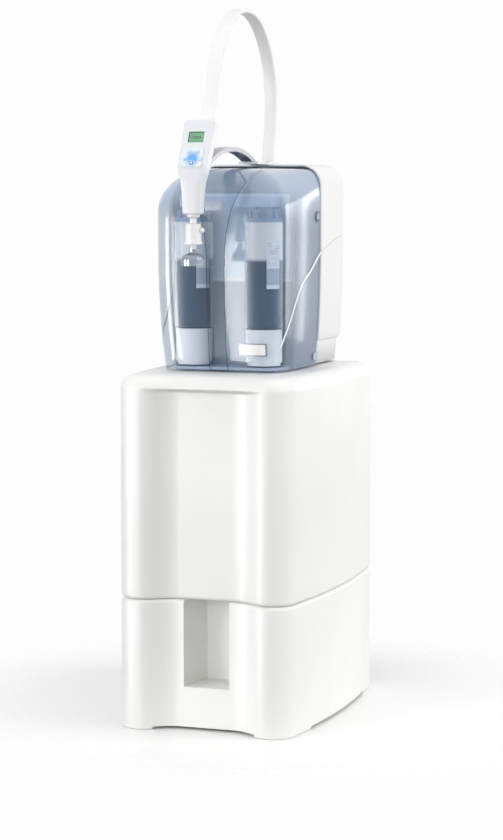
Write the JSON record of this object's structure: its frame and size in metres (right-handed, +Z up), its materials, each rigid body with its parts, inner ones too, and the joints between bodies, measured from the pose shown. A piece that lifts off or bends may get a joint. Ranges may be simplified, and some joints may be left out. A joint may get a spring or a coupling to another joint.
{
  "type": "ultrapure water system",
  "caption": "White laboratory ultrapure water system with a smoked see-through cover on a tall storage tank and stand, with a flat hose to a hand-held dispenser in a curved holder",
  "frame": {"origin": "On the floor, in the middle of the footprint without the hose", "axes": "+Z up, the front with its cover and dispenser faces -Y, +X is to the right of the front as a person facing it sees it"},
  "size_m": [0.398, 0.642, 1.427],
  "materials": {
    "shell": "moulded polyethylene, warm white, softly matte",
    "white_housing": "painted white plastic, satin",
    "smoked_cover": "see-through blue-grey tinted plastic, glossy",
    "white_plastic": "moulded white plastic",
    "grey_plastic": "grey plastic",
    "steel": "brushed stainless steel",
    "grey_metal": "grey painted sheet",
    "zinc_metal": "zinc plated sheet",
    "rubber_foot": "dark rubber",
    "clear_plastic": "clear plastic",
    "resin_blue": "dark blue resin beads",
    "dark_plastic": "dark blue-grey plastic",
    "black_plastic": "black plastic",
    "label_white": "white printed film with plain blocks, no words",
    "board_green": "green board with solder mask",
    "tube_clear": "milky tube",
    "hose_white": "white flexible hose, softly satin",
    "arm_silver": "polished aluminium band",
    "handset_white": "moulded white plastic",
    "lcd_green": "grey-green liquid crystal display",
    "foil_blue": "light blue printed foil",
    "key_blue": "light blue key",
    "key_dark": "blue key with a plain droplet",
    "badge_white": "bare white plate in a thin bright frame"
  },
  "bodies": {
    "frame": {"stand": "shell", "tank": "shell", "level_probe": "steel", "vent_filter": "white_plastic", "tank_outlet": "grey_plastic", "housing": "white_housing", "unit_floor": "grey_metal", "unit_feet": "rubber_foot", "chassis": "grey_metal", "manifold": "dark_plastic", "uv_reactor": "steel", "pump": "black_plastic", "power_supply": "zinc_metal", "controller_board": "board_green", "valve_block": "white_plastic", "inner_tubes": "tube_clear", "hose_socket": "white_plastic", "hose": "hose_white", "holder_base": "white_plastic", "holder_arm": "arm_silver", "holder_cradle": "dark_plastic", "holder_screws": "steel", "handset_front": "handset_white", "handset_back": "handset_white", "display": "lcd_green", "display_lens": "clear_plastic", "key_plate": "foil_blue", "outlet_collar": "white_plastic", "power_inlet": "black_plastic", "switch_frame": "black_plastic", "water_ports": "grey_plastic"},
    "cover": {"cover": "smoked_cover", "badge_plate": "badge_white"},
    "latch_left": {"latch_left": "steel"},
    "latch_right": {"latch_right": "steel"},
    "cartridge_left": {"cartridge_left": "clear_plastic", "resin_left": "resin_blue", "cup_left": "white_plastic", "cap_left": "dark_plastic", "label_left": "label_white"},
    "cartridge_right": {"cartridge_right": "clear_plastic", "resin_right": "resin_blue", "cup_right": "white_plastic", "cap_right": "dark_plastic", "label_right": "label_white"},
    "hood": {"connection_hood": "shell"},
    "key_1": {"key_1": "key_blue"},
    "key_2": {"key_2": "key_blue"},
    "key_3": {"key_3": "key_blue"},
    "key_4": {"key_4": "key_blue"},
    "dispense_key": {"dispense_key": "key_dark"},
    "final_filter": {"final_filter": "white_plastic", "filling_bell": "clear_plastic"},
    "vent_cap": {"vent_cap": "white_plastic"},
    "power_switch": {"power_switch": "black_plastic"}
  },
  "joints": [
    {"name": "cover_slide", "type": "slide", "parent": "frame", "child": "cover", "axis": [0, -1, 0], "range_m": [0, 0.05]},
    {"name": "latch_left_turn", "type": "hinge", "parent": "cover", "child": "latch_left", "pos_m": [-0.1344, 0.055, 1.012], "axis": [1, 0, 0], "range_deg": [0, 90]},
    {"name": "latch_right_turn", "type": "hinge", "parent": "cover", "child": "latch_right", "pos_m": [0.1344, 0.055, 1.012], "axis": [1, 0, 0], "range_deg": [0, 90]},
    {"name": "cartridge_left_twist", "type": "hinge", "parent": "frame", "child": "cartridge_left", "pos_m": [-0.074, -0.104, 0.88], "axis": [0, 0, 1], "range_deg": [0, 60]},
    {"name": "cartridge_right_twist", "type": "hinge", "parent": "frame", "child": "cartridge_right", "pos_m": [0.074, -0.104, 0.88], "axis": [0, 0, 1], "range_deg": [-60, 0]},
    {"name": "hood_lift", "type": "slide", "parent": "frame", "child": "hood", "axis": [0, 0, 1], "range_m": [0, 0.055]},
    {"name": "key_1_press", "type": "slide", "parent": "frame", "child": "key_1", "axis": [0, 0.891, -0.454], "range_m": [0, 0.001], "stiffness_N_per_m": 600},
    {"name": "key_2_press", "type": "slide", "parent": "frame", "child": "key_2", "axis": [0, 0.891, -0.454], "range_m": [0, 0.001], "stiffness_N_per_m": 600},
    {"name": "key_3_press", "type": "slide", "parent": "frame", "child": "key_3", "axis": [0, 0.891, -0.454], "range_m": [0, 0.001], "stiffness_N_per_m": 600},
    {"name": "key_4_press", "type": "slide", "parent": "frame", "child": "key_4", "axis": [0, 0.891, -0.454], "range_m": [0, 0.001], "stiffness_N_per_m": 600},
    {"name": "dispense_press", "type": "slide", "parent": "frame", "child": "dispense_key", "axis": [0, 0.891, -0.454], "range_m": [0, 0.0012], "stiffness_N_per_m": 600},
    {"name": "filter_turn", "type": "hinge", "parent": "frame", "child": "final_filter", "pos_m": [-0.0025, -0.297, 0.97], "axis": [0, 0, 1], "range_deg": [0, 90]},
    {"name": "vent_cap_turn", "type": "hinge", "parent": "final_filter", "child": "vent_cap", "pos_m": [0.0134, -0.297, 0.99], "axis": [1, 0, 0], "range_deg": [0, 90]},
    {"name": "switch_rock", "type": "hinge", "parent": "frame", "child": "power_switch", "pos_m": [0.034, 0.2616, 0.79], "axis": [1, 0, 0], "range_deg": [0, 12]}
  ]
}
